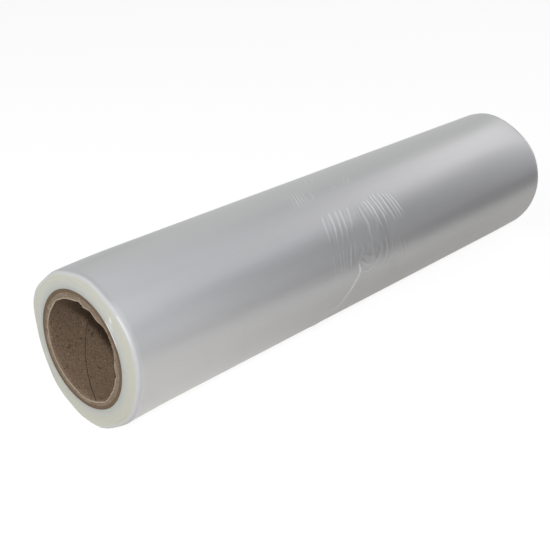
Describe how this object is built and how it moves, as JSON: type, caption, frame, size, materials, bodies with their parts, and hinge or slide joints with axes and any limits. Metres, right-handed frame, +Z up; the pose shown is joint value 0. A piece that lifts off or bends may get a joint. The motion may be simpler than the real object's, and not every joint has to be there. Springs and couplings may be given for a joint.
{
  "type": "stretch wrap roll",
  "caption": "Roll of clear plastic stretch wrap wound on a spiral paperboard core, for wrapping boxes and pallets by hand.",
  "frame": {"origin": "under the middle of the roll, on the surface that it lies on", "axes": "+X along the roll from the worn open end to the plain end, +Z up, and -Y the side with the gathered ripples"},
  "size_m": [0.5122, 0.1181, 0.1169],
  "materials": {
    "film": "satin wound film, silvery on the outside and milky at the end faces",
    "paperboard": "matte grey-brown board with darker and lighter fibres"
  },
  "bodies": {
    "root": {"film_roll": "film", "core_tube": "paperboard"}
  },
  "joints": []
}
